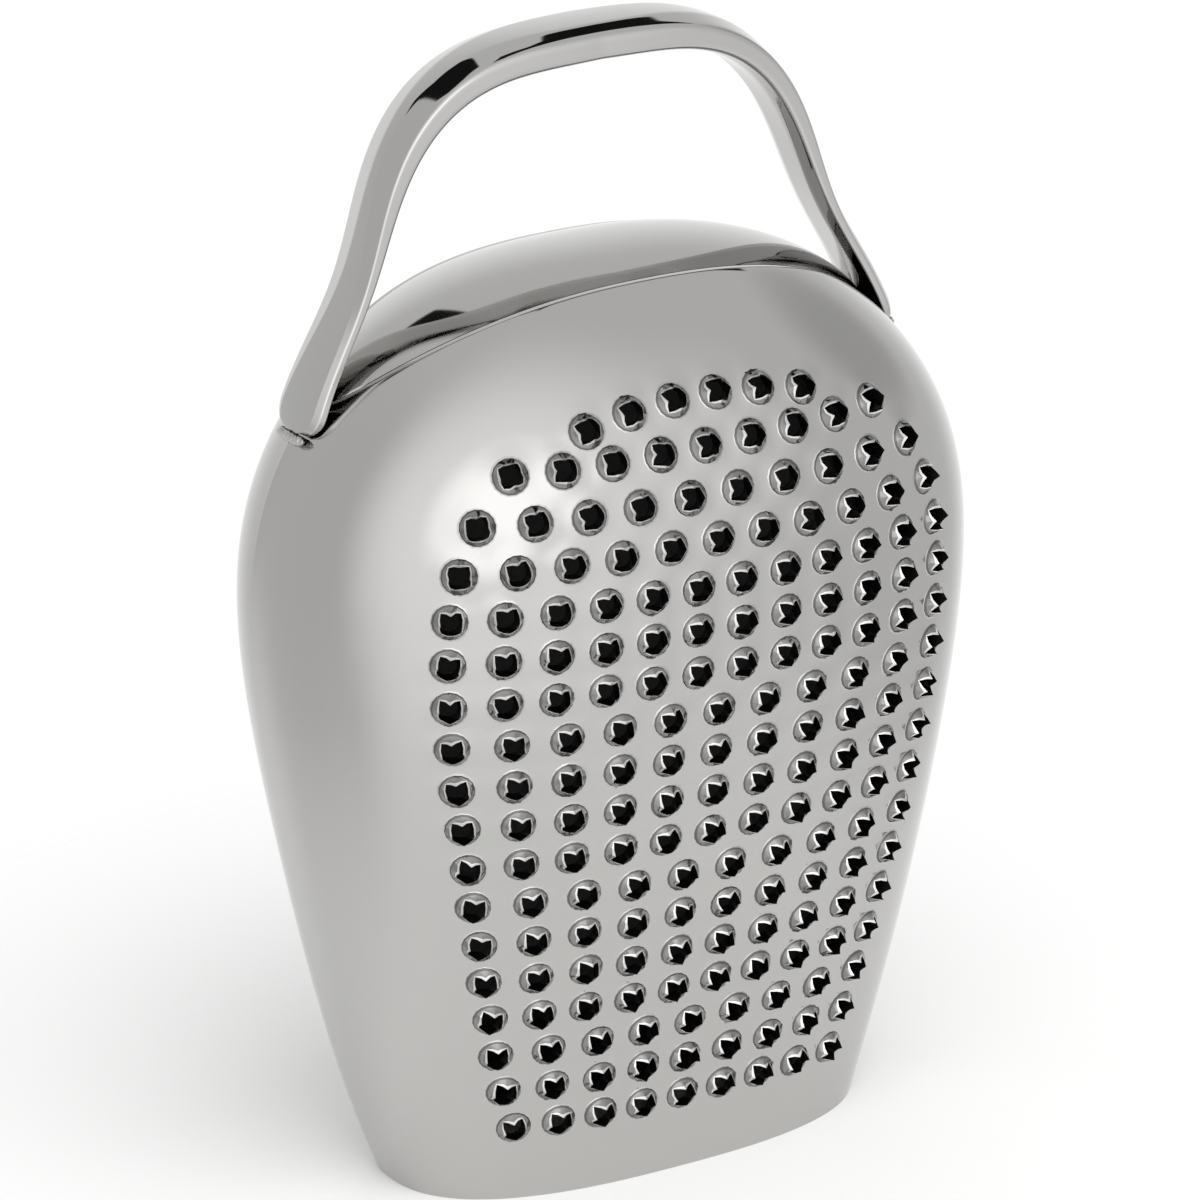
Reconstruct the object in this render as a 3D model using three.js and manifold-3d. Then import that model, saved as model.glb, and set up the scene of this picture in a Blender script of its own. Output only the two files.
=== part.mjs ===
import * as THREE from 'three';
import { mergeVertices } from 'three/addons/utils/BufferGeometryUtils.js';
import Module from 'manifold-3d';

// Hand-held sleeve grater: millimetres, +Z up, standing on its open base, grating face towards -Y.

// Sleeve: half-width and front depth change with height, each along a Bezier curve from base to top
const bodyHeight = 160;
const bodyHalfWidth = 65.3;
const widthShares = [0.689, 0.885, 0.920, 0.983, 1.291, 0.484];
const frontDepths = [24.5, 23.2, 50.0, 30.3, 64.3, 20.7];
const backShare = 0.6;
const ovalPower = 2.58;
const sheet = 1.0;
const clearance = 0.3;

// Dome: the sleeve is closed along an arch seen from the front
const archSpring = bodyHeight * 0.648;
const archPower = 2.38;
const bandHalfLength = bodyHalfWidth * 0.72;
const bandCrown = 0.19;

// Crowns
const rowCounts = [9, 9, 9, 10, 10, 10, 10, 11, 11, 11, 11, 12, 12, 12, 11, 10, 9, 6];
const firstRow = 14.4;
const topRowMargin = 15.9;
const fieldSideMargin = 18.7;
const fieldTopMargin = 13.3;
const topRowDrop = 2.4;
const crownRadius = 2.7;
const crownTaper = 0.42;
const punchHalfWidth = 1.45;
const punchFlare = 0.14;

// Handle: its outer edge bows round a centre above the shoulders; lists run from the foot up to the grip
const handleHalfSpan = bodyHalfWidth * 0.87;
const handleRise = 57.3;
const footRise = 5.2;
const handleStart = -10;
const bowShares = [1.039, 0.908, 0.931, 0.479, 1.282, 1.051, 1.0, 1.0];
const strapThickness = [1.6, 1.0, 0.3, 2.4, 3.7, 3.7];
const strapWidth = [14.5, 13.5, 10.5, 13.5, 17, 16];
const strapCrown = [1.0, 0.9, 0.6, 1.2, 1.4, 1.4];
const strapOffset = -0.8;
const toeShare = 0.034;
const toeRound = 4;
const toeWidth = 0.6;
const weldRadius = 0.6;

// Facets
const bodyColumns = 44;
const bodyLevels = 12;
const archFacets = 32;
const bandStations = 24;
const bandLanes = 6;
const strapStations = 40;
const crownSides = 8;

const wasm = await Module();
wasm.setup();

const steel = new THREE.MeshStandardMaterial({ color: 0xb9bcc0, metalness: 1, roughness: 0.12 });
const weldSteel = new THREE.MeshStandardMaterial({ color: 0x8d9094, metalness: 1, roughness: 0.45 });

// Point on a Bezier curve of plain numbers
function bezier(values, t) {
  let row = values.slice();
  while (row.length > 1) {
    row = row.slice(1).map((value, i) => row[i] * (1 - t) + value * t);
  }
  return row[0];
}

const halfWidthAt = (z) => bodyHalfWidth * bezier(widthShares, z / bodyHeight);
const frontDepthAt = (z) => bezier(frontDepths, z / bodyHeight);
const signedPower = (value, power) => Math.sign(value) * Math.abs(value) ** power;

// Depth of the sleeve at (x, z), with the wall moved inwards by inset
function depthAt(x, z, share, inset) {
  const across = Math.min(Math.abs(x) / (halfWidthAt(z) - inset), 1);
  return (frontDepthAt(z) * share - inset) * (1 - across ** ovalPower) ** (1 / ovalPower);
}

// Point on the arch; angle 0 is the right spring, a right angle the top
function archPoint(angle, grow) {
  const x = (bodyHalfWidth + grow) * signedPower(Math.cos(angle), 2 / archPower);
  const z = archSpring + (bodyHeight + grow - archSpring) * Math.abs(Math.sin(angle)) ** (2 / archPower);
  return new THREE.Vector2(x, z);
}

function archHeightAt(x) {
  const across = Math.min(Math.abs(x) / bodyHalfWidth, 1);
  return archSpring + (bodyHeight - archSpring) * (1 - across ** archPower) ** (1 / archPower);
}

function archNormal(x) {
  const z = archHeightAt(x);
  const normalX = signedPower(x / bodyHalfWidth, archPower - 1) / bodyHalfWidth;
  const normalZ = ((z - archSpring) / (bodyHeight - archSpring)) ** (archPower - 1) / (bodyHeight - archSpring);
  return new THREE.Vector2(normalX, normalZ).normalize();
}

function geometryFrom(points, triangles) {
  const geometry = new THREE.BufferGeometry();
  geometry.setFromPoints(points);
  geometry.setIndex(triangles);
  return geometry;
}

// Closed loft through rings of points that run anticlockwise seen against the loft direction
function loft(rings) {
  const count = rings[0].length;
  const points = rings.flat();
  const triangles = [];
  for (let i = 0; i + 1 < rings.length; i += 1) {
    for (let j = 0; j < count; j += 1) {
      const a = i * count + j;
      const b = i * count + (j + 1) % count;
      triangles.push(a, b, b + count, a, b + count, a + count);
    }
  }
  for (const [ring, first, turned] of [[rings[0], 0, true], [rings.at(-1), points.length - count, false]]) {
    const centre = ring.reduce((sum, p) => sum.add(p), new THREE.Vector3()).divideScalar(count);
    const hub = points.push(centre) - 1;
    for (let j = 0; j < count; j += 1) {
      const pair = [first + j, first + (j + 1) % count];
      triangles.push(hub, ...(turned ? pair.reverse() : pair));
    }
  }
  return geometryFrom(points, triangles);
}

// Closed plate between two matching grids of points
function plate(upper, lower) {
  const rows = upper.length;
  const count = upper[0].length;
  const points = [...upper.flat(), ...lower.flat()];
  const triangles = [];
  const quad = (a, b, c, d) => triangles.push(a, b, c, a, c, d);
  const top = (i, j) => i * count + j;
  const under = (i, j) => rows * count + i * count + j;
  for (let i = 0; i + 1 < rows; i += 1) {
    for (let j = 0; j + 1 < count; j += 1) {
      quad(top(i, j), top(i + 1, j), top(i + 1, j + 1), top(i, j + 1));
      quad(under(i, j), under(i, j + 1), under(i + 1, j + 1), under(i + 1, j));
    }
    quad(top(i, 0), under(i, 0), under(i + 1, 0), top(i + 1, 0));
    quad(top(i + 1, count - 1), under(i + 1, count - 1), under(i, count - 1), top(i, count - 1));
  }
  for (let j = 0; j + 1 < count; j += 1) {
    quad(top(0, j), top(0, j + 1), under(0, j + 1), under(0, j));
    quad(top(rows - 1, j + 1), top(rows - 1, j), under(rows - 1, j), under(rows - 1, j + 1));
  }
  return geometryFrom(points, triangles);
}

// Geometry to solid for joining and cutting, and back again
function solid(geometry) {
  const bare = geometry.clone();
  bare.deleteAttribute('normal');
  bare.deleteAttribute('uv');
  const merged = mergeVertices(bare, 1e-5);
  const index = merged.index.array;
  return new wasm.Manifold(new wasm.Mesh({
    numProp: 3,
    vertProperties: new Float32Array(merged.attributes.position.array),
    triVerts: new Uint32Array(index),
  }));
}

function geometryOf(body) {
  const mesh = body.getMesh();
  const geometry = new THREE.BufferGeometry();
  geometry.setAttribute('position', new THREE.BufferAttribute(new Float32Array(mesh.vertProperties), 3));
  geometry.setIndex(new THREE.BufferAttribute(new Uint32Array(mesh.triVerts), 1));
  return geometry;
}

// Filled sleeve with its wall moved inwards by inset; its levels draw closer towards the top
function sleeve(inset, from, to) {
  const rings = [];
  for (let i = 0; i <= bodyLevels; i += 1) {
    const z = from + (to - from) * (1 - (1 - i / bodyLevels) ** 1.5);
    const ring = [];
    for (let j = 0; j < bodyColumns; j += 1) {
      const angle = j / bodyColumns * Math.PI * 2;
      const across = Math.cos(angle);
      const along = Math.sin(angle);
      const reach = (Math.abs(across) ** ovalPower + Math.abs(along) ** ovalPower) ** (-1 / ovalPower);
      const share = along < 0 ? 1 : backShare;
      const x = (halfWidthAt(z) - inset) * across * reach;
      const y = (frontDepthAt(z) * share - inset) * along * reach;
      ring.push(new THREE.Vector3(x, y, z));
    }
    rings.push(ring);
  }
  return solid(loft(rings));
}

// Everything under the arch, moved outwards by grow
function underArch(grow) {
  const outline = [new THREE.Vector2(bodyHalfWidth + grow, -bodyHeight)];
  for (let i = 0; i <= archFacets; i += 1) {
    outline.push(archPoint(i / archFacets * Math.PI, grow));
  }
  outline.push(new THREE.Vector2(-bodyHalfWidth - grow, -bodyHeight));
  const shape = new THREE.Shape(outline);
  const prism = new THREE.ExtrudeGeometry(shape, { depth: bodyHeight, bevelEnabled: false });
  prism.translate(0, 0, -bodyHeight / 2);
  prism.rotateX(Math.PI / 2);
  return solid(prism);
}

function box(fromX, toX, fromY, toY, fromZ, toZ) {
  const block = new THREE.BoxGeometry(toX - fromX, toY - fromY, toZ - fromZ);
  block.translate((fromX + toX) / 2, (fromY + toY) / 2, (fromZ + toZ) / 2);
  return solid(block);
}

// Half-width of the crown field at height z: parallel to the sleeve sides, then to the arch
function fieldHalfWidth(z) {
  const side = Math.min(halfWidthAt(z), bodyHalfWidth) - fieldSideMargin;
  const rise = Math.max(z - archSpring, 0) / (bodyHeight - fieldTopMargin - archSpring);
  const arched = (bodyHalfWidth - fieldSideMargin) * (1 - rise ** archPower) ** (1 / archPower);
  return Math.min(side, arched);
}

// Places on the front face, each with its own axes: across, up and outwards
function crownPlaces() {
  const places = [];
  const step = (bodyHeight - topRowMargin - firstRow) / (rowCounts.length - 1);
  const face = (x, z) => new THREE.Vector3(x, -depthAt(x, z, 1, 0), z);
  rowCounts.forEach((count, row) => {
    const height = firstRow + step * row;
    const reach = fieldHalfWidth(height);
    const drop = row === rowCounts.length - 1 ? topRowDrop : 0;
    for (let i = 0; i < count; i += 1) {
      const across = i / (count - 1) * 2 - 1;
      const x = reach * across;
      const z = height - drop * across ** 2;
      const up = face(x, z + 0.5).sub(face(x, z - 0.5)).normalize();
      const side = face(x + 0.5, z).sub(face(x - 0.5, z)).normalize();
      const out = side.cross(up).normalize();
      const right = up.clone().cross(out);
      places.push(new THREE.Matrix4().makeBasis(right, up, out).setPosition(face(x, z)));
    }
  });
  return places;
}

// Pyramid standing on the face with its tip outwards, or upside down with its tip behind the sheet
function pyramid(sides, radius, tip) {
  const base = tip > 0 ? -sheet * 0.6 : crownRadius / crownTaper;
  const geometry = new THREE.ConeGeometry(radius * (1 - base / tip), Math.abs(tip - base), sides, 1);
  geometry.rotateX(Math.sign(tip) * Math.PI / 2);
  geometry.translate(0, 0, (tip + base) / 2);
  return geometry;
}

// Each crown is a small cone burst open by a square punch: the corners of the punch leave the notches
function punchCrowns(shell) {
  const cone = pyramid(crownSides, crownRadius, crownRadius / crownTaper);
  const punch = pyramid(4, punchHalfWidth * Math.SQRT2, -punchHalfWidth / punchFlare);
  punch.rotateZ(Math.PI / 4);
  const places = crownPlaces();
  const raised = places.reduce((body, place) => body.add(solid(cone.clone().applyMatrix4(place))), shell);
  return places.reduce((body, place) => body.subtract(solid(punch.clone().applyMatrix4(place))), raised);
}

// Plate along the top between the two shells, crowned by a share of its width and reaching from under to over
function bandPlate(gap, crownShare, under, over) {
  const upper = [];
  const lower = [];
  for (let i = 0; i <= bandStations; i += 1) {
    const x = (bandHalfLength - gap) * (i / bandStations * 2 - 1);
    const z = archHeightAt(x);
    const normal = archNormal(x);
    const front = -depthAt(x, z, 1, sheet) + gap;
    const back = depthAt(x, z, backShare, sheet) - gap;
    const laneAt = (j, lift) => {
      const lane = j / bandLanes;
      const rise = (back - front) / 2 * crownShare * (1 - (lane * 2 - 1) ** 2) + lift;
      return new THREE.Vector3(x + normal.x * rise, front + (back - front) * lane, z + normal.y * rise);
    };
    const lanes = [...Array(bandLanes + 1).keys()];
    upper.push(lanes.map((j) => laneAt(j, over)));
    lower.push(lanes.map((j) => laneAt(j, under)));
  }
  return plate(upper, lower);
}

// Outer edge of the handle at share t from the left foot over the grip to the right foot
function strapEdge(t) {
  const half = 1 - Math.abs(t * 2 - 1);
  const angle = THREE.MathUtils.degToRad(handleStart + (90 - handleStart) * half);
  const bow = bezier(bowShares, half);
  const x = handleHalfSpan * bow * Math.cos(angle);
  const z = archHeightAt(handleHalfSpan) + footRise + handleRise * bow * Math.sin(angle);
  return new THREE.Vector2(t < 0.5 ? -x : x, z);
}

// Direction across the strap, away from the handle centre
function strapOutward(t) {
  const along = strapEdge(Math.min(t + 0.002, 1)).sub(strapEdge(Math.max(t - 0.002, 0))).normalize();
  return new THREE.Vector2(-along.y, along.x);
}

function strapSection(t) {
  const edge = strapEdge(t);
  const outward = strapOutward(t);
  const fromToe = Math.min(edge.distanceTo(strapEdge(toeShare)), edge.distanceTo(strapEdge(1 - toeShare)));
  const rounding = Math.max(1 - fromToe / toeRound, 0) ** 2;
  const fromFoot = 1 - Math.abs(t * 2 - 1);
  const half = bezier(strapWidth, fromFoot) / 2 * (1 - (1 - toeWidth) * rounding);
  const thick = bezier(strapThickness, fromFoot);
  const crown = bezier(strapCrown, fromFoot);
  const soft = thick * 0.3;
  const profile = [
    [half, -soft], [half * 0.82, crown * 0.4], [half * 0.45, crown * 0.85], [0, crown],
    [-half * 0.45, crown * 0.85], [-half * 0.82, crown * 0.4], [-half, -soft],
    [-half, -thick + soft], [-half + soft, -thick], [half - soft, -thick], [half, -thick + soft],
  ];
  return profile.map(([y, lift]) => {
    return new THREE.Vector3(edge.x + outward.x * lift, strapOffset + y, edge.y + outward.y * lift);
  });
}

// Strap from toe to toe, its feet cut to lie on the arch
function strap() {
  const rings = [];
  for (let i = 0; i <= strapStations; i += 1) {
    const share = (1 - Math.cos(i / strapStations * Math.PI)) / 2;
    rings.push(strapSection(toeShare + (1 - toeShare * 2) * share));
  }
  return geometryOf(solid(loft(rings)).subtract(underArch(clearance)));
}

// Bead laid in the corner between the toe of the handle and the shoulder on the given side
function footWeld(side) {
  const toe = strapEdge(1 - toeShare);
  const outward = strapOutward(1 - toeShare);
  while (toe.y > archHeightAt(toe.x)) {
    toe.addScaledVector(outward, -0.05);
  }
  const standOff = (weldRadius + clearance) * 1.35;
  const normal = archNormal(toe.x).multiplyScalar(standOff);
  const path = [];
  for (let i = 0; i <= 8; i += 1) {
    const across = i / 4 - 1;
    const down = standOff + 0.4 * (1 - across ** 2);
    const y = strapOffset + across * strapWidth[0] / 2 * toeWidth;
    path.push(new THREE.Vector3(side * (toe.x + normal.x + outward.y * down), y, toe.y + normal.y - outward.x * down));
  }
  const outline = new THREE.Shape();
  outline.absarc(0, 0, weldRadius, 0, Math.PI * 2);
  return new THREE.ExtrudeGeometry(outline, {
    extrudePath: new THREE.CatmullRomCurve3(path), steps: 12, curveSegments: 4, bevelEnabled: false,
  });
}

const group = new THREE.Group();

function addPart(name, geometry, material) {
  const mesh = new THREE.Mesh(geometry, material);
  mesh.name = name;
  geometry.computeVertexNormals();
  group.add(mesh);
}

const far = bodyHeight * 2;
const hollow = sleeve(sheet, -sheet, bodyHeight).intersect(underArch(-sheet));
const wall = sleeve(0, 0, bodyHeight + sheet)
  .intersect(underArch(0))
  .subtract(hollow)
  .subtract(solid(bandPlate(0, 0, -sheet * 3, sheet * 3)));
const frontWall = wall.intersect(box(-far, far, -far, -clearance / 2, -far, far));
const backWall = wall.intersect(box(-far, far, clearance / 2, far, -far, far));

addPart('front_shell', geometryOf(punchCrowns(frontWall)), steel);
addPart('back_shell', geometryOf(backWall), steel);
addPart('top_band', bandPlate(clearance, bandCrown, -sheet, 0), steel);
addPart('handle', strap(), steel);
addPart('left_foot_weld', footWeld(-1), weldSteel);
addPart('right_foot_weld', footWeld(1), weldSteel);

// The sleeve is deeper in front than behind, so the group is moved to put its box over the origin
const extent = new THREE.Box3().setFromObject(group);
group.children.forEach((mesh) => mesh.geometry.translate(0, -(extent.min.y + extent.max.y) / 2, 0));

export default group;
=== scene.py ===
import math
import random

import bmesh
import bpy
from mathutils import Matrix, Vector, noise
from mathutils.kdtree import KDTree


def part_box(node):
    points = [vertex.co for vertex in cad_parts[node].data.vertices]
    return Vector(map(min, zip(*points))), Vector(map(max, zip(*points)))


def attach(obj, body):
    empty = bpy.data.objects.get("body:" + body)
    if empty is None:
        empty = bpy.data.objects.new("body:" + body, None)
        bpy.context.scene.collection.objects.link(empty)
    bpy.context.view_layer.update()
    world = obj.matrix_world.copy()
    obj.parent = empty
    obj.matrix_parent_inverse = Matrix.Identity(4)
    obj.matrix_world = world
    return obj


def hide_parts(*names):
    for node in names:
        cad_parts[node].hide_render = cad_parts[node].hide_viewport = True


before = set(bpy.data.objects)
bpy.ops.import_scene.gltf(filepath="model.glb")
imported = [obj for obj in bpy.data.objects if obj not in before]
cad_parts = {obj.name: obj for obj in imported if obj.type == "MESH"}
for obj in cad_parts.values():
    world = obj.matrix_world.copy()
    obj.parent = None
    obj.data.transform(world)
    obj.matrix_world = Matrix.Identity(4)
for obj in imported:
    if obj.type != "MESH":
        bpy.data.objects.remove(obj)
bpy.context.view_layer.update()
mm = 0.001  # every size below is in millimetres and is turned into metres at the end
gridEdge = 0.9999  # a new grid runs from -1 to 1, so its outermost points lie beyond this
mergeReach = 1e-4  # points nearer to each other than this become one

# the strap's middle lies a little in front of the plane where the two shells meet
strapOffset = -0.8
handleLow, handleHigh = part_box("handle")
seamY = (handleLow.y + handleHigh.y) / 2 - strapOffset * mm


def spot(x, y, z):
    return Vector((x * mm, y * mm + seamY, z * mm))


def bezier(values, t):
    row = list(values)
    while len(row) > 1:
        row = [a * (1 - t) + b * t for a, b in zip(row, row[1:])]
    return row[0]


def ease(value, low, high):
    t = min(max((value - low) / (high - low), 0), 1)
    return t * t * (3 - 2 * t)


def signedPower(value, power):
    return math.copysign(abs(value) ** power, value)


def onlyVerts(geom):
    return [v for v in geom if isinstance(v, bmesh.types.BMVert)]


def loopEdges(verts):
    ring = set(verts)
    return list(dict.fromkeys(e for v in verts for e in v.link_edges if e.other_vert(v) in ring))


def openEdges(bm):
    return [e for e in bm.edges if e.is_boundary]


def roundOff(bm, edges, offset):
    bmesh.ops.bevel(bm, geom=edges, offset=offset, offset_type="OFFSET", segments=3, profile=0.5,
                    affect="EDGES", material=-1)


def shadeSmooth(bm):
    for f in bm.faces:
        f.smooth = True


def putInPlace(bm):
    for v in bm.verts:
        v.co = spot(*v.co)


def show(thing):
    bpy.context.scene.collection.objects.link(thing)


def newPiece(name, bm, materials, node):
    mesh = bpy.data.meshes.new(name)
    bm.to_mesh(mesh)
    bm.free()
    for material in materials:
        mesh.materials.append(material)
    piece = bpy.data.objects.new(name, mesh)
    show(piece)
    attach(piece, "root")
    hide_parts(node)
    print(name, len(mesh.polygons), "faces")
    return piece


# finishes

def newMaterial(name):
    material = bpy.data.materials.new(name)
    material.use_nodes = True
    return material


def mapRange(tree, source, fromRange, toRange=(0, 1), kind="SMOOTHSTEP"):
    ramp = tree.nodes.new("ShaderNodeMapRange")
    ramp.interpolation_type = kind
    for name, value in zip(("From Min", "From Max", "To Min", "To Max"), (*fromRange, *toRange)):
        ramp.inputs[name].default_value = value
    tree.links.new(source, ramp.inputs["Value"])
    return ramp.outputs["Result"]


def noiseField(tree, place, scale, detail):
    texture = tree.nodes.new("ShaderNodeTexNoise")
    texture.inputs["Scale"].default_value = scale
    texture.inputs["Detail"].default_value = detail
    tree.links.new(place, texture.inputs["Vector"])
    return texture.outputs["Fac"]


# what all the finishes share: soft smudges in the polish and a slow wave in the sheet
polishing = {
    "smudgeScale": 45.0,
    "smudgeDetail": 5.0,
    "smudgeRange": (0.3, 0.75),
    "waveDetail": 1.5,
}


def polishedSteel(name, look):
    material = newMaterial(name)
    tree = material.node_tree
    shader = tree.nodes["Principled BSDF"]
    shader.inputs["Base Color"].default_value = look["colour"]
    shader.inputs["Metallic"].default_value = 1.0
    place = tree.nodes.new("ShaderNodeTexCoord").outputs["Object"]
    smudge = noiseField(tree, place, polishing["smudgeScale"], polishing["smudgeDetail"])
    polish = mapRange(tree, smudge, polishing["smudgeRange"], look["polish"], "LINEAR")
    tree.links.new(polish, shader.inputs["Roughness"])
    wave = noiseField(tree, place, 1 / (look["waveSize"] * mm), polishing["waveDetail"])
    bump = tree.nodes.new("ShaderNodeBump")
    bump.inputs["Strength"].default_value = 1.0
    bump.inputs["Distance"].default_value = look["waveDepth"] * mm
    tree.links.new(wave, bump.inputs["Height"])
    tree.links.new(bump.outputs["Normal"], shader.inputs["Normal"])
    return material


steelLook = {
    "colour": (0.5, 0.495, 0.485, 1),
    "polish": (0.035, 0.085),
    "waveSize": 26.0,
    "waveDepth": 0.02,
}

# painted shade: the crown flanks are the same steel, darkened in colour so that they look grey
flankShadeLook = {
    "colour": (0.26, 0.256, 0.25, 1),
    "polish": (0.06, 0.16),
    "waveSize": 1.8,
    "waveDepth": 0.06,
}

# painted shade: a near-black band round the root of each crown, where the fillet lies in shade
rootShadeLook = {
    "colour": (0.14, 0.138, 0.134, 1),
    "polish": (0.2, 0.35),
    "waveSize": 3.0,
    "waveDepth": 0.02,
}

# painted highlight: the torn edges are the same steel, made brighter in colour so that the rims gleam
tornHighlightLook = {
    "colour": (0.74, 0.735, 0.72, 1),
    "polish": (0.2, 0.36),
    "waveSize": 1.4,
    "waveDepth": 0.03,
}

# painted shade: the inside is the same steel, given a near-black colour so that the holes look dark
insideShadeLook = {
    "colour": (0.07, 0.07, 0.068, 1),
    "polish": (0.3, 0.45),
    "waveSize": 9.0,
    "waveDepth": 0.01,
}

weldLook = {
    "colour": (0.54, 0.53, 0.515, 1),
    "polish": (0.22, 0.4),
    "waveSize": 1.1,
    "waveDepth": 0.06,
}

steel = polishedSteel("polished_steel", steelLook)
insideShadeSteel = polishedSteel("inside_painted_shade_steel", insideShadeLook)
flankShadeSteel = polishedSteel("crown_flank_painted_shade_steel", flankShadeLook)
rootShadeSteel = polishedSteel("crown_root_painted_shade_steel", rootShadeLook)
tornHighlightSteel = polishedSteel("torn_edge_painted_highlight_steel", tornHighlightLook)
weldSteel = polishedSteel("weld_steel", weldLook)
backFinishes = [steel, insideShadeSteel]
frontFinishes = backFinishes + [flankShadeSteel, rootShadeSteel, tornHighlightSteel]
insideShadeFinish = backFinishes.index(insideShadeSteel)
print("finishes made")


# sleeve: the stamped front and back shells

sleeve = {
    "height": 160.0,
    # the outline's curves, from the base to the top
    "halfWidths": (44.83, 57.59, 59.88, 63.96, 83.99, 31.48),
    "depths": (24.5, 23.2, 50.0, 30.3, 64.3, 20.7),
    "backShare": 0.598,  # depth of the back shell against the front one
    "ovalPower": 2.58,
    "sheet": 1.0,
    "columns": 170,
    "levels": 160,
    "archHalfWidth": 65.3,
    "archSpring": 103.7,
    "archPower": 2.38,
    "shoulder": (134.0, 146.0, 0.25),  # heights between which the spare reach fades, and that reach
    "ridge": (108.0, 140.0, 0.15, 6.0),  # heights between which it grows, its steepness and its reach
    "lowestTop": 136.0,  # no wall meets the arch below this height
    "topSteps": 40,  # halvings to find where it does
    "lip": 1.1,
    "lipShare": 0.3,  # near the seam the lip is this share of the depth
    "lipDepth": 1.3,
    "lipRound": 0.2,
    "cornerSides": 5,  # the gaps left at the ends of the lip have no more sides
    "sharpAngle": 29,
    # points of the seam: how near to its plane and to the outline, and from which height
    "seamReach": 1e-4,
    "seamWidth": 0.05,
    "seamStart": 0.5,
}


def halfWidth(z):
    return bezier(sleeve["halfWidths"], z / sleeve["height"])


def depth(z):
    return bezier(sleeve["depths"], z / sleeve["height"])


def frontFace(x, z):
    across = min(abs(x) / halfWidth(z), 1)
    return -depth(z) * (1 - across ** sleeve["ovalPower"]) ** (1 / sleeve["ovalPower"])


def archReach(z):
    rise = min(max(z - sleeve["archSpring"], 0) / (sleeve["height"] - sleeve["archSpring"]), 1)
    low, high, spare = sleeve["shoulder"]
    reach = sleeve["archHalfWidth"] * (1 - rise ** sleeve["archPower"]) ** (1 / sleeve["archPower"])
    return reach + spare * (1 - ease(z, low, high))


def archNormal(x, z):
    rise = sleeve["height"] - sleeve["archSpring"]
    power = sleeve["archPower"] - 1
    normalX = signedPower(x / sleeve["archHalfWidth"], power) / sleeve["archHalfWidth"]
    normalZ = max((z - sleeve["archSpring"]) / rise, 0) ** power / rise
    return Vector((normalX, 0, normalZ)).normalized()


def wallPoint(angle, z, side, inset=0):
    # side is -1 for the front shell and 1 for the back shell
    share = 1 if side < 0 else sleeve["backShare"]
    across, along = math.cos(angle), math.sin(angle)
    power = sleeve["ovalPower"]
    reach = (abs(across) ** power + abs(along) ** power) ** (-1 / power)
    x = (halfWidth(z) - inset) * across * reach
    y = (depth(z) * share - inset) * along * reach
    low, high, steep, fade = sleeve["ridge"]
    x -= math.copysign(steep * ease(z, low, high) * y * math.exp(-y / fade), across)
    return x, side * y


def wallTop(angle):
    # the height where the wall meets the arch, found by halving
    low, high = sleeve["lowestTop"], sleeve["height"]
    for step in range(sleeve["topSteps"]):
        middle = (low + high) / 2
        if abs(wallPoint(angle, middle, -1)[0]) > archReach(middle):
            high = middle
        else:
            low = middle
    return low


def wallNormal(angle, z, side):
    turnStep, riseStep = 0.01, 0.2
    inward = 1 if angle < math.pi / 2 else -1
    here = spot(*wallPoint(angle, z, side), z)
    turned = spot(*wallPoint(angle + inward * turnStep, z, side), z)
    raised = spot(*wallPoint(angle, z + riseStep, side), z + riseStep)
    normal = (turned - here).cross(raised - here).normalized()
    outwards = Vector((here.x, here.y - seamY, 0))
    return normal if normal.dot(outwards) > 0 else -normal


def lipWidth(y):
    return min(sleeve["lip"], abs(y) * sleeve["lipShare"])


# crowns: the punched teeth of the front face

crowns = {
    "rows": (9, 9, 9, 10, 10, 10, 10, 11, 11, 11, 11, 12, 12, 12, 11, 10, 9, 6),  # from the base up
    "firstRow": 14.4,
    "topMargin": 15.9,  # from the top of the arch down to the last row
    "sideMargin": 18.7,  # from the outline in to the outermost crowns
    "fieldTop": 13.3,  # from the top of the arch down to the tip of the field
    "topDrop": 2.4,  # the ends of the last row hang this much lower
    "slopeStep": 0.5,
    "sides": 16,
    "rings": 6,
    "ringFinishes": (steel, rootShadeSteel, flankShadeSteel, tornHighlightSteel, insideShadeSteel),  # between one ring and the next: plain steel, painted shade at the root, painted shade on the flank, painted highlight on the torn edge, painted shade inside
    # radius and height of the rings of the foot, the second of which is pulled and shifted unevenly, so the
    # painted shade at the root is wider on one side
    "foot": ((3.4, -0.02), (3.08, 0.05), (2.86, 0.3)),
    "unevenRing": 1,
    "footPull": (0.4, 1.7),
    "footShift": 0.2,
    "shiftAcross": (-1, 0.3),
    "shiftUp": (-0.6, 0.8),
    "turn": (-0.2, 0.2),
    # the points of one tooth, with the share of its lean that each one takes
    "teeth": 4,
    "tooth": (("tip", 1), ("flank", 0.5), ("notch", 0), ("flank", 0.5)),
    # radius, height, then how far the torn edge leans in and how far it rises
    "tip": (2.14, 1.55, 0.34, 0.55),
    "flank": (2.3, 0.95, 0.26, 0.36),
    "notch": (2.52, 0.4, 0.14, 0.1),
    "toothTall": (0.8, 1.12),
    "toothLean": (-0.2, 0.14),
    "toothRough": ((0.9, 1.08), (0.7, 1.3), (0.85, 1.1)),  # every point but the tip
    "bore": {"tip": 1.95, "flank": 2.05, "notch": 2.4},
    "boreShare": 0.9,  # how far the bore goes through the sheet
    "hole": 2.3,
    "innerHole": 1.85,
    "cutShare": 0.9,  # points within this share of a hole's radius are cut away
    "rimReach": 2.2,  # open points up to this far outside it move to its edge
    "dent": 0.2,
    "dentReach": 4.0,
    "dentEnd": 6.0,  # further out the sheet stays as it is
    "seed": 7,
}


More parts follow.
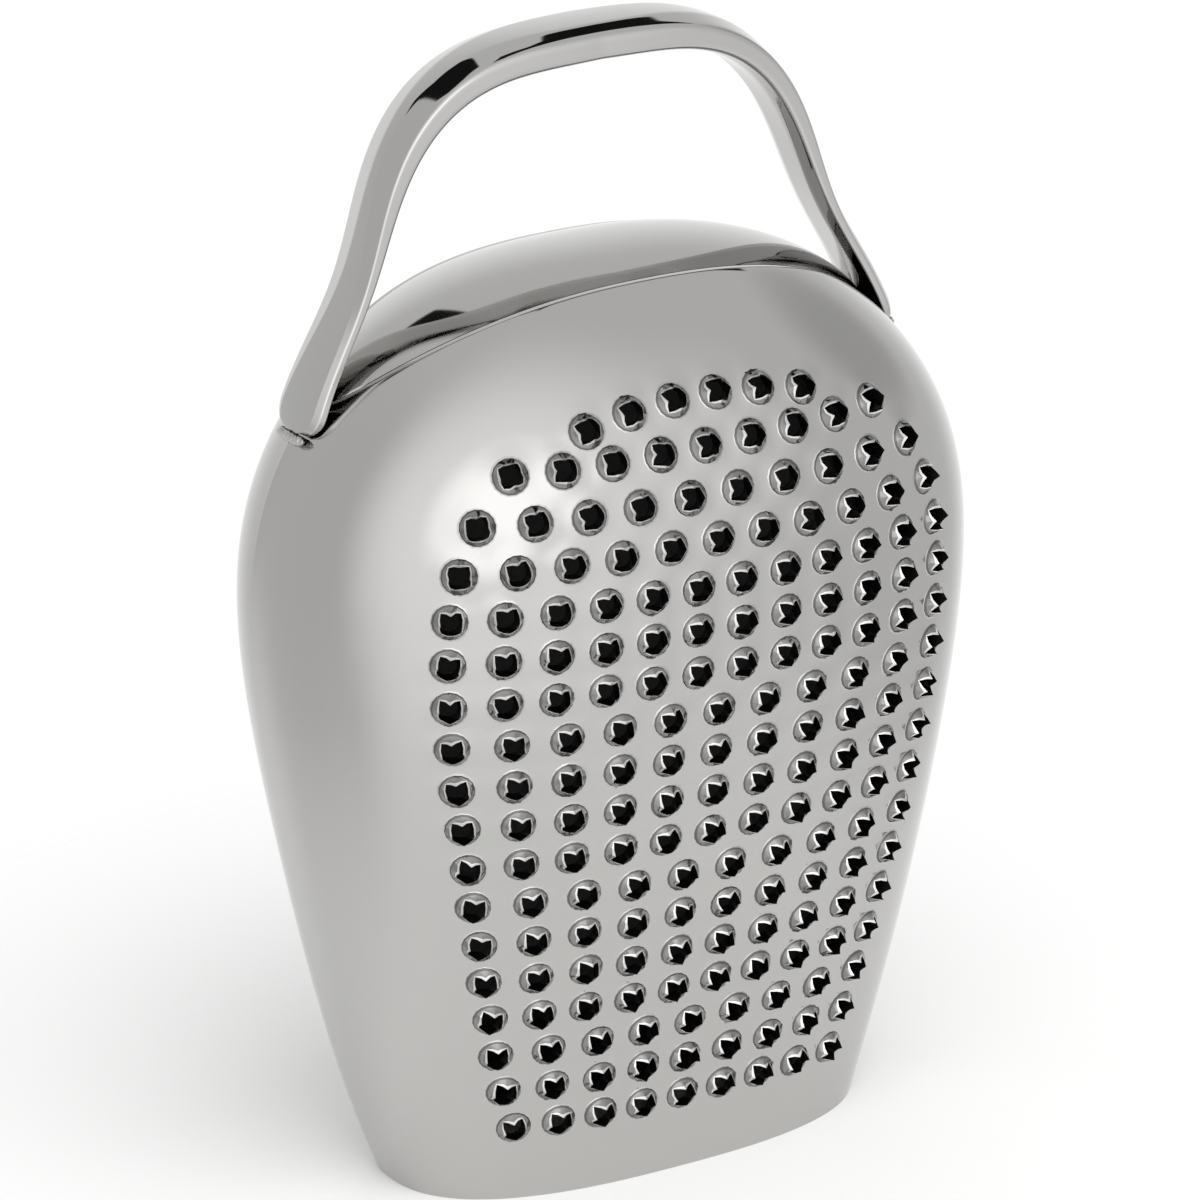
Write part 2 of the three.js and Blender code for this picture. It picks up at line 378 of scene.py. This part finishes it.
def fieldHalfWidth(z):
    side = min(halfWidth(z), sleeve["archHalfWidth"]) - crowns["sideMargin"]
    spring = sleeve["archSpring"]
    rise = max(z - spring, 0) / (sleeve["height"] - crowns["fieldTop"] - spring)
    power = sleeve["archPower"]
    arch = (sleeve["archHalfWidth"] - crowns["sideMargin"]) * (1 - rise ** power) ** (1 / power)
    return min(side, arch)


def crownSpots():
    spots = []
    rowCount = len(crowns["rows"])
    pitch = (sleeve["height"] - crowns["topMargin"] - crowns["firstRow"]) / (rowCount - 1)
    for row, count in enumerate(crowns["rows"]):
        height = crowns["firstRow"] + pitch * row
        reach = fieldHalfWidth(height)
        drop = crowns["topDrop"] if row == rowCount - 1 else 0
        for i in range(count):
            across = i / (count - 1) * 2 - 1
            spots.append((reach * across, height - drop * across ** 2))
    return spots


def crownFinder(places):
    tree = KDTree(len(places))
    for index, (x, z) in enumerate(places):
        tree.insert((x, frontFace(x, z), z), index)
    tree.balance()
    return tree


crownPlaces = crownSpots()
crownTree = crownFinder(crownPlaces)


def dent(distance):
    # how far the sheet is drawn out beside a crown
    return crowns["dent"] * math.exp(-(distance / crowns["dentReach"]) ** 4)


def crownAxes(x, z):
    step = crowns["slopeStep"]
    up = Vector((0, frontFace(x, z + step) - frontFace(x, z - step), 1)).normalized()
    across = Vector((1, frontFace(x + step, z) - frontFace(x - step, z), 0)).normalized()
    out = across.cross(up).normalized()
    return up.cross(out), up, out


def shellGrid(bm, side, inset):
    made = bmesh.ops.create_grid(bm, x_segments=sleeve["columns"], y_segments=sleeve["levels"], size=1)
    grid = made["verts"]
    edges = {
        "base": [v for v in grid if v.co.y < -gridEdge],
        "top": [v for v in grid if v.co.y > gridEdge],
        "right": [v for v in grid if v.co.x > gridEdge],
        "left": [v for v in grid if v.co.x < -gridEdge],
    }
    tops = {}
    for v in grid:
        u, w = (v.co.x + 1) / 2, (v.co.y + 1) / 2
        angle = math.pi * (1 - u if side < 0 else u)
        column = round(u * sleeve["columns"])
        if column not in tops:
            tops[column] = wallTop(angle)
        z = (tops[column] - (sleeve["lipDepth"] if inset else 0)) * w
        v.co = (*wallPoint(angle, z, side, inset), z)
    return grid, edges


def cutHoles(bm, grid, radius, lift, inset):
    # returns the points round each hole, by the number of its crown
    doomed = []
    for v in grid:
        place, index, distance = crownTree.find(v.co + Vector((0, -inset, 0)))
        if distance < radius * crowns["cutShare"]:
            doomed.append(v)
    bmesh.ops.delete(bm, geom=doomed, context="VERTS")
    rims = {}
    for v in (v for v in grid if v.is_valid):
        place, index, distance = crownTree.find(v.co + Vector((0, -inset, 0)))
        if distance > crowns["dentEnd"]:
            continue
        x, z = crownPlaces[index]
        right, up, out = crownAxes(x, z)
        if v.is_boundary and distance < radius + crowns["rimReach"]:
            ray = Vector((v.co.x - x, v.co.y - inset - place.y, v.co.z - z))
            flat = (ray - out * ray.dot(out)).normalized() * radius
            v.co = (x + flat.x, frontFace(x + flat.x, z + flat.z) + inset, z + flat.z)
            distance = radius
            rims.setdefault(index, []).append(v)
        if lift:
            v.co += out * dent(distance)
    return rims


def addLip(bm, topVerts, side):
    topEdges = loopEdges(topVerts)
    inward = onlyVerts(bmesh.ops.extrude_edge_only(bm, edges=topEdges)["geom"])
    for v in inward:
        v.co.y -= side * lipWidth(v.co.y)
    down = onlyVerts(bmesh.ops.extrude_edge_only(bm, edges=loopEdges(inward))["geom"])
    for v in down:
        v.co -= archNormal(v.co.x, v.co.z) * sleeve["lipDepth"]
    roundOff(bm, topEdges, sleeve["lipRound"])
    return down


def makeShell(side):
    bm = bmesh.new()
    outer, outerEdges = shellGrid(bm, side, 0)
    inner, innerEdges = shellGrid(bm, side, sleeve["sheet"])
    # the inner faces take the painted shade of the inside
    insideFaces = list(dict.fromkeys(f for v in inner for f in v.link_faces))
    bmesh.ops.reverse_faces(bm, faces=insideFaces)
    for f in insideFaces:
        f.material_index = insideShadeFinish
    if side < 0:
        outerRims = cutHoles(bm, outer, crowns["hole"], True, 0)
        innerRims = cutHoles(bm, inner, crowns["innerHole"], False, sleeve["sheet"])
        for index, rim in outerRims.items():
            edges = [e for e in loopEdges(rim) + loopEdges(innerRims[index]) if e.is_boundary]
            # the bores through the sheet take the painted shade of the inside too
            for f in bmesh.ops.bridge_loops(bm, edges=edges)["faces"]:
                f.material_index = insideShadeFinish
    for edge in ("base", "left", "right"):
        bmesh.ops.bridge_loops(bm, edges=loopEdges(outerEdges[edge]) + loopEdges(innerEdges[edge]))
    lipVerts = addLip(bm, outerEdges["top"], side)
    bmesh.ops.bridge_loops(bm, edges=loopEdges(lipVerts) + loopEdges(innerEdges["top"]))
    bmesh.ops.holes_fill(bm, edges=openEdges(bm), sides=sleeve["cornerSides"])
    shadeSmooth(bm)
    putInPlace(bm)
    return bm


def crownMesh():
    # a closed tube of rings, still without its shape, with its points in the order of the rings
    bm = bmesh.new()
    ring = bmesh.ops.create_circle(bm, segments=crowns["sides"], radius=1)["verts"]
    ring.sort(key=lambda v: math.atan2(v.co.y, v.co.x) % (2 * math.pi))
    order = list(ring)
    for step in range(crowns["rings"] - 1):
        fresh = set(onlyVerts(bmesh.ops.extrude_edge_only(bm, edges=loopEdges(ring))["geom"]))
        ring = [next(e.other_vert(v) for e in v.link_edges if e.other_vert(v) in fresh) for v in ring]
        order += ring
    bmesh.ops.bridge_loops(bm, edges=loopEdges(ring) + loopEdges(order[:crowns["sides"]]))
    for index, v in enumerate(order):
        v.index = index
    bm.verts.sort()
    shadeSmooth(bm)
    for f in bm.faces:
        lastRing = max(v.index for v in f.verts) // crowns["sides"]
        f.material_index = frontFinishes.index(crowns["ringFinishes"][lastRing - 1])
    bmesh.ops.recalc_face_normals(bm, faces=bm.faces)
    mesh = bpy.data.meshes.new("crown")
    bm.to_mesh(mesh)
    bm.free()
    return mesh


def crownProfile(chance):
    # radius and height of each point round the torn mouth, one tooth after the other,
    # then of the mouth's inner edge and of the bore
    mouth = []
    edge = []
    for tooth in range(crowns["teeth"]):
        tall = chance.uniform(*crowns["toothTall"])
        lean = chance.uniform(*crowns["toothLean"])
        uneven = [1] + [chance.uniform(*limits) for limits in crowns["toothRough"]]
        for (name, share), rough in zip(crowns["tooth"], uneven):
            radius, height, inward, rise = crowns[name]
            radius += lean * share
            height *= (1 + (tall - 1) * min(share * 2, 1)) * rough
            mouth.append((radius, height))
            edge.append((radius - inward, height + rise))
    low = -sleeve["sheet"] * crowns["boreShare"]
    bore = [(crowns["bore"][name], low) for name, share in crowns["tooth"]] * crowns["teeth"]
    return mouth, edge, bore


def addCrowns(bm):
    chance = random.Random(crowns["seed"])
    template = crownMesh()
    field = bmesh.new()
    for place in crownPlaces:
        field.from_mesh(template)
    field.verts.ensure_lookup_table()
    sides, footRings = crowns["sides"], len(crowns["foot"])
    start = 0
    for x, z in crownPlaces:
        right, up, out = crownAxes(x, z)
        upper = crownProfile(chance)
        turn = chance.uniform(*crowns["turn"])
        pull = chance.uniform(*crowns["footPull"])
        shiftAcross = chance.uniform(*crowns["shiftAcross"]) * crowns["footShift"]
        shiftUp = chance.uniform(*crowns["shiftUp"]) * crowns["footShift"]
        for index in range(sides * crowns["rings"]):
            ring, k = divmod(index, sides)
            angle = math.pi / 2 + k * 2 * math.pi / sides + turn
            uneven = ring == crowns["unevenRing"]
            if ring < footRings:
                radius, height = crowns["foot"][ring]
                height = height * (pull if uneven else 1) + dent(radius)
            else:
                radius, height = upper[ring - footRings][k]
            across = radius * math.cos(angle) + (shiftAcross if uneven else 0)
            rise = radius * math.sin(angle) + (shiftUp if uneven else 0)
            flat = right * across + up * rise
            px, pz = x + flat.x, z + flat.z
            field.verts[start + index].co = spot(*(Vector((px, frontFace(px, pz), pz)) + out * height))
        start += sides * crowns["rings"]
    field.to_mesh(template)
    field.free()
    bm.from_mesh(template)
    bpy.data.meshes.remove(template)


def smoothSeam(piece, side):
    # the two shells meet without a step, so the seam takes the normals of the whole oval
    mesh = piece.data
    mesh.set_sharp_from_angle(angle=math.radians(sleeve["sharpAngle"]))
    normals = [Vector((0, 0, 0))] * len(mesh.loops)
    for loop in mesh.loops:
        co = mesh.vertices[loop.vertex_index].co
        if abs(co.y - seamY) < sleeve["seamReach"] * mm and co.z > sleeve["seamStart"] * mm:
            z = co.z / mm
            angle = 0 if co.x > 0 else math.pi
            if abs(abs(co.x / mm) - halfWidth(z)) < sleeve["seamWidth"]:
                normals[loop.index] = wallNormal(angle, z, side)
    mesh.normals_split_custom_set(normals)


frontBm = makeShell(-1)
addCrowns(frontBm)
frontShell = newPiece("front_shell_polished", frontBm, frontFinishes, "front_shell")
smoothSeam(frontShell, -1)
backShell = newPiece("back_shell_polished", makeShell(1), backFinishes, "back_shell")
smoothSeam(backShell, 1)
print("shells and", len(crownPlaces), "crowns made")


# top band: crowned strip between the lips of the two shells

band = {
    "gap": 0.25,
    "crown": 0.19,
    "rearStep": 0.2,  # the band ends this much higher at the back
    "stations": 150,
    "lanes": 36,
    "endAngle": 0.06,
    "sheet": 1.0,
    "round": 0.35,
    "sharpAngle": 38,
}


def makeBand():
    bm = bmesh.new()
    grid = bmesh.ops.create_grid(bm, x_segments=band["stations"], y_segments=band["lanes"], size=1)["verts"]
    for v in grid:
        u, lane = (v.co.x + 1) / 2, (v.co.y + 1) / 2
        angle = math.pi - band["endAngle"] - (math.pi - 2 * band["endAngle"]) * u
        z = wallTop(angle)
        x, front = wallPoint(angle, z, -1)
        back = wallPoint(angle, z, 1)[1]
        front += lipWidth(front) + band["gap"]
        back -= lipWidth(back) + band["gap"]
        rise = max(back - front, 0) / 2 * band["crown"] * (1 - (lane * 2 - 1) ** 2)
        rise += band["rearStep"] * lane ** 4
        v.co = Vector((x, front + (back - front) * lane, z)) + archNormal(x, z) * rise
    rim = openEdges(bm)
    for v in onlyVerts(bmesh.ops.extrude_edge_only(bm, edges=rim)["geom"]):
        v.co -= archNormal(v.co.x, v.co.z) * band["sheet"]
    roundOff(bm, rim, band["round"])
    bmesh.ops.holes_fill(bm, edges=openEdges(bm), sides=0)
    for f in bm.faces:
        f.smooth = len(f.verts) <= 4  # all but the underside, which is one large face
    putInPlace(bm)
    return bm


topBand = newPiece("top_band_polished", makeBand(), [steel], "top_band")
topBand.data.set_sharp_from_angle(angle=math.radians(band["sharpAngle"]))
print("band made")


# handle: bow strap from toe to toe

strap = {
    "centre": 141.97,
    "span": 56.8,
    "rise": 57.3,
    "start": -10.0,  # degrees below the centre where the curve begins
    # this row and the next ones run from the foot to the grip
    "bow": (1.039, 0.908, 0.931, 0.479, 1.282, 1.051, 1.0, 1.0),  # factor on the half ellipse
    "width": (14.5, 13.5, 10.5, 13.5, 16.0, 15.2),
    "top": (1.0, 0.9, 0.6, 1.2, 1.37, 1.37),
    "thickness": (1.6, 1.0, 0.3, 3.6, 4.8, 4.4),
    "crown": (0.15, 0.15, 0.1, 0.1, 0.1, 0.2, 0.5, 0.6, 0.6),
    "bevel": (1.4, 1.4, 1.2, -2.2, 7.5, 8.5, 4.5, 3.0, 3.0),
    "drop": (0.9, 0.9, 0.8, 0.7, 0.7, 0.8, 1.0, 1.2, 1.25),
    "rearBevel": (0.6, 1.5, 5.5, 7.5, 6.5, 4.0, 3.0),
    "rearDrop": (0.3, 0.4, 1.2, 1.6, 1.3, 1.1, 1.0),
    "underBevel": (2.0, 2.6, 3.4, 3.4, 3.0, 2.6, 2.6),
    "underDrop": (0.0, 0.2, 1.3, 1.3, 0.8, 0.4, 0.4),
    "topRound": (0.15, 0.15, 0.2, 0.3, 0.4, 0.4, 0.5, 0.6, 0.6),
    "edgeRound": (0.3, 0.3, 0.3, 0.3, 0.3, 0.4, 0.9, 1.6, 1.6),
    "underRound": (0.4, 0.4, 0.3, 0.3, 0.6, 0.9, 1.2, 1.4, 1.4),
    "innerRound": (0.3, 0.4, 0.6, 0.8, 1.0, 1.2, 1.2),
    "largestRound": 0.45,  # share of the lines beside a corner that its rounding may take
    "toeShare": 0.034,  # the strap ends this share of the curve before the curve does
    "toeRound": 4.5,
    "toeWidth": 0.55,  # share of the width that is left at the end
    "footFrom": 30.0,  # the feet lie further out than this
    "footGap": 0.05,
    "footSteps": 3,
    "slopeStep": 0.001,
    "stations": 200,
    "evenShare": 0.6,  # the rest of the spacing draws the stations together at the toes
    "steps": 6,
    "sharpAngle": 38,
}


def strapEdge(t):
    half = 1 - abs(t * 2 - 1)
    angle = math.radians(strap["start"] + (90 - strap["start"]) * half)
    bow = bezier(strap["bow"], half)
    x = math.copysign(strap["span"] * bow * math.cos(angle), t - 0.5)
    return Vector((x, 0, strap["centre"] + strap["rise"] * bow * math.sin(angle)))


def roundedLine(points, reaches, steps):
    # a line through the points, each inner corner rounded off over the given reach
    line = []
    last = points[0]
    share = strap["largestRound"]
    for before, corner, after, reach in zip(points, points[1:], points[2:], reaches):
        reach = min(reach, (before - corner).length * share, (after - corner).length * share)
        start = corner + (before - corner).normalized() * reach
        end = corner + (after - corner).normalized() * reach
        line += [last.lerp(start, k / steps) for k in range(steps)]
        line += [bezier((start, corner, end), k / steps) for k in range(steps)]
        last = end
    return line + [last.lerp(points[-1], k / steps) for k in range(steps + 1)]


def strapRow(names, half):
    return [bezier(strap[name], half) for name in names]


def strapSide(half, width, bevelRow, dropRow):
    # half of the section, from the middle of the top round the edge to the middle of the underside
    top, thickness, bevel, drop = strapRow(("top", "thickness", bevelRow, dropRow), half)
    underBevel, underDrop = strapRow(("underBevel", "underDrop"), half)
    low = -thickness - underDrop
    corners = [(0, top), (width - bevel, top), (width, top - drop), (width, -thickness),
               (width - underBevel, low), (0, low)]
    reaches = strapRow(("topRound", "edgeRound", "underRound", "innerRound"), half)
    return roundedLine([Vector(corner) for corner in corners], reaches, strap["steps"])


def restOnArch(point):
    # the foot lies on the shoulder, so nothing of it goes below the arch
    if point.z > sleeve["height"] or abs(point.x) < strap["footFrom"]:
        return point
    for step in range(strap["footSteps"]):
        short = archReach(point.z) + strap["footGap"] - abs(point.x)
        if short <= 0:
            break
        normal = archNormal(point.x, point.z)
        point = point + normal * (short * abs(normal.x))
    return point


def strapRing(t):
    half = 1 - abs(t * 2 - 1)
    edge = strapEdge(t)
    step = strap["slopeStep"]
    along = (strapEdge(min(t + step, 1)) - strapEdge(max(t - step, 0))).normalized()
    outward = Vector((-along.z, 0, along.x))
    toe = strap["toeShare"]
    fromToe = min((edge - strapEdge(toe)).length, (edge - strapEdge(1 - toe)).length)
    rounding = math.sqrt(1 - max(1 - fromToe / strap["toeRound"], 0) ** 2)
    width, top, thickness, crown = strapRow(("width", "top", "thickness", "crown"), half)
    width = width / 2 * (strap["toeWidth"] + (1 - strap["toeWidth"]) * rounding)
    rear = strapSide(half, width, "rearBevel", "rearDrop")
    front = [Vector((-y, lift)) for y, lift in strapSide(half, width, "bevel", "drop")[-2:0:-1]]
    ring = []
    for y, lift in rear + front:
        swell = crown * (y / width) ** 2 * max(lift + thickness, 0) / (top + thickness)
        point = edge + outward * (lift - swell)
        point.y = strapOffset + y
        ring.append(restOnArch(point))
    return ring


def makeStrap():
    toe, stations, even = strap["toeShare"], strap["stations"], strap["evenShare"]
    rings = []
    for i in range(stations + 1):
        share = i / stations
        share = share * even + (1 - even) * (1 - math.cos(math.pi * share)) / 2
        rings.append(strapRing(toe + (1 - toe * 2) * share))
    around = len(rings[0])
    bm = bmesh.new()
    grid = bmesh.ops.create_grid(bm, x_segments=around, y_segments=stations, size=1)["verts"]
    for v in grid:
        column, row = round((v.co.x + 1) / 2 * around), round((v.co.y + 1) / 2 * stations)
        v.co = rings[row][column % around]
    bmesh.ops.remove_doubles(bm, verts=bm.verts, dist=mergeReach)
    bmesh.ops.holes_fill(bm, edges=openEdges(bm), sides=0)
    bmesh.ops.recalc_face_normals(bm, faces=bm.faces)
    shadeSmooth(bm)
    putInPlace(bm)
    return bm


handle = newPiece("handle_polished", makeStrap(), [steel], "handle")
handle.data.set_sharp_from_angle(angle=math.radians(strap["sharpAngle"]))
print("handle made")


# foot welds: a lumpy bead under each toe

weld = {
    "radius": 0.85,
    "ripple": 0.12,
    "ripples": 6,
    "lump": 0.22,
    "lumpSize": 0.9,
    "overhang": 0.3,
    "sag": 0.35,
    "endPower": 6,
    "endShare": 0.02,  # what is left of the radius at the ends
    "stations": 60,
    "around": 18,
}


def makeWeld(node, side):
    low, high = (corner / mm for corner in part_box(node))
    middle = (low + high) / 2
    reach = (high.y - low.y) / 2 + weld["overhang"]
    bm = bmesh.new()
    grid = bmesh.ops.create_grid(bm, x_segments=weld["around"], y_segments=weld["stations"], size=1)["verts"]
    for v in grid:
        angle, along = (v.co.x + 1) * math.pi, v.co.y
        radius = weld["radius"] + weld["ripple"] * math.sin(along * math.pi * weld["ripples"]) ** 2
        radius *= max(1 - abs(along) ** weld["endPower"], weld["endShare"])
        spread = Vector((side * math.cos(angle), 0, math.sin(angle)))
        sag = weld["sag"] * (1 - along ** 2)
        centre = Vector((middle.x, middle.y + reach * along, middle.z - sag))
        bump = noise.noise((centre + spread) / weld["lumpSize"]) * weld["lump"]
        v.co = (centre + spread * (radius + bump)) * mm
    bmesh.ops.remove_doubles(bm, verts=bm.verts, dist=mergeReach * mm)
    bmesh.ops.holes_fill(bm, edges=openEdges(bm), sides=0)
    bmesh.ops.recalc_face_normals(bm, faces=bm.faces)
    shadeSmooth(bm)
    return bm


for node, side in (("left_foot_weld", -1), ("right_foot_weld", 1)):
    newPiece(node + "_bead", makeWeld(node, side), [weldSteel], node)
print("foot welds made")


# studio: pale floor, white surroundings, soft light

studio = {
    "floorRadius": 0.6,
    "floorSides": 96,
    "floorColour": (0.93, 0.93, 0.925, 1),
    "floorRoughness": 0.9,
    "floorFade": (0.06, 0.24),
    "lampPlace": (0.1, -0.9, 1.3),
    "lampSize": 1.6,
    "lampPower": 11.5,
    "walls": 0.78,
    # soft pools of light and shade on the walls: bearing, height, inner and outer angle, brightness
    "pools": (
        (-118, 12, 20, 55, 0.72),
        (160, -14, 20, 56, 1.02),
        (-10, -42, 20, 60, 1.0),
        (-25, 15, 20, 75, 1.3),
        (-19, 17, 2, 32, 1.95),
        (90, 24, 6, 26, 0.56),
    ),
    # dark panels: bearing from and to, counted from straight behind, then height from and to
    "panels": (
        (-38, 0, 45.5, 62),
        (-38, -24, 31, 52),
        (44, 78, 45, 66),
        (20, 78, 64, 82),
    ),
    "panelSoftness": 1.0,
    "panelBrightness": 0.012,
}


def makeFloor():
    bm = bmesh.new()
    bmesh.ops.create_circle(bm, segments=studio["floorSides"], radius=studio["floorRadius"],
                            cap_ends=True)
    mesh = bpy.data.meshes.new("floor")
    bm.to_mesh(mesh)
    bm.free()
    floor = bpy.data.objects.new("floor", mesh)
    show(floor)
    material = newMaterial("pale_floor")
    tree = material.node_tree
    nodes, links = tree.nodes, tree.links
    paint = nodes["Principled BSDF"]
    paint.inputs["Base Color"].default_value = studio["floorColour"]
    paint.inputs["Roughness"].default_value = studio["floorRoughness"]
    paint.inputs["Specular IOR Level"].default_value = 0.0
    # the floor runs out softly into the white backdrop
    place = nodes.new("ShaderNodeTexCoord")
    away = nodes.new("ShaderNodeVectorMath")
    away.operation = "LENGTH"
    links.new(place.outputs["Object"], away.inputs[0])
    fade = mapRange(tree, away.outputs["Value"], studio["floorFade"])
    clear = nodes.new("ShaderNodeBsdfTransparent")
    mix = nodes.new("ShaderNodeMixShader")
    links.new(fade, mix.inputs["Fac"])
    links.new(paint.outputs["BSDF"], mix.inputs[1])
    links.new(clear.outputs["BSDF"], mix.inputs[2])
    links.new(mix.outputs["Shader"], nodes["Material Output"].inputs["Surface"])
    mesh.materials.append(material)


def makeLamp():
    # lights the floor from above and in front; the steel shows the walls instead
    data = bpy.data.lights.new("overhead", "AREA")
    data.size = studio["lampSize"]
    data.energy = studio["lampPower"]
    lamp = bpy.data.objects.new("overhead", data)
    lamp.location = studio["lampPlace"]
    lamp.rotation_euler = (-lamp.location).to_track_quat("-Z", "Y").to_euler()
    lamp.visible_glossy = False
    lamp.visible_camera = False
    show(lamp)


def bearing(azimuth, height):
    turn, rise = math.radians(azimuth), math.radians(height)
    return Vector((math.sin(turn) * math.cos(rise), -math.cos(turn) * math.cos(rise), math.sin(rise)))


def makeWorld():
    world = bpy.data.worlds.new("studio")
    world.use_nodes = True
    bpy.context.scene.world = world
    tree = world.node_tree
    nodes, links = tree.nodes, tree.links
    place = nodes.new("ShaderNodeTexCoord").outputs["Generated"]

    def combine(operation, first, second=0):
        node = nodes.new("ShaderNodeMath")
        node.operation = operation
        for socket, value in zip(node.inputs, (first, second)):
            if isinstance(value, (int, float)):
                socket.default_value = value
            else:
                links.new(value, socket)
        return node.outputs[0]

    def within(source, low, high):
        soft = math.radians(studio["panelSoftness"])
        past = [mapRange(tree, source, (edge - soft, edge + soft)) for edge in (low, high)]
        return combine("SUBTRACT", *past)

    def blend(old, brightness, share):
        node = nodes.new("ShaderNodeMix")
        links.new(share, node.inputs["Factor"])
        if isinstance(old, float):
            node.inputs["A"].default_value = old
        else:
            links.new(old, node.inputs["A"])
        node.inputs["B"].default_value = brightness
        return node.outputs["Result"]

    light = studio["walls"]
    for azimuth, height, inner, outer, brightness in studio["pools"]:
        facing = nodes.new("ShaderNodeVectorMath")
        facing.operation = "DOT_PRODUCT"
        facing.inputs[1].default_value = bearing(azimuth, height)
        links.new(place, facing.inputs[0])
        limits = (math.cos(math.radians(outer)), math.cos(math.radians(inner)))
        light = blend(light, brightness, mapRange(tree, facing.outputs["Value"], limits))

    axes = nodes.new("ShaderNodeSeparateXYZ")
    links.new(place, axes.inputs["Vector"])
    turn = combine("ARCTAN2", axes.outputs["X"], axes.outputs["Y"])
    rise = combine("ARCSINE", axes.outputs["Z"])
    for left, right, low, high in (map(math.radians, panel) for panel in studio["panels"]):
        panel = combine("MULTIPLY", within(turn, left, right), within(rise, low, high))
        light = blend(light, studio["panelBrightness"], panel)
    links.new(light, nodes["Background"].inputs["Color"])


makeFloor()
makeLamp()
makeWorld()
print("studio made")


# camera at the photograph's viewing angle

shot = {
    "azimuth": -28.464,
    "elevation": 20.54,
    "roll": -1.67,
    "distance": 1174.5,
    "target": (0.827, 0.0, 96.78),
    "focalPixels": 6859.5,
    "photoPixels": 1200,
    "sensor": 36,
    "clip": (0.05, 20),
}


def makeCamera():
    azimuth, roll = math.radians(shot["azimuth"]), math.radians(shot["roll"])
    back = bearing(shot["azimuth"], shot["elevation"])
    right = Vector((math.cos(azimuth), math.sin(azimuth), 0))
    up = back.cross(right)
    tilted = right * math.cos(roll) + up * math.sin(roll)
    upright = up * math.cos(roll) - right * math.sin(roll)
    data = bpy.data.cameras.new("camera")
    data.lens = shot["focalPixels"] / shot["photoPixels"] * shot["sensor"]
    data.sensor_width = shot["sensor"]
    data.clip_start, data.clip_end = shot["clip"]
    camera = bpy.data.objects.new("camera", data)
    show(camera)
    turned = Matrix((tilted, upright, back)).transposed().to_4x4()
    turned.translation = spot(*shot["target"]) + back * shot["distance"] * mm
    camera.matrix_world = turned
    bpy.context.scene.camera = camera


makeCamera()
bpy.context.scene.view_settings.view_transform = "Standard"
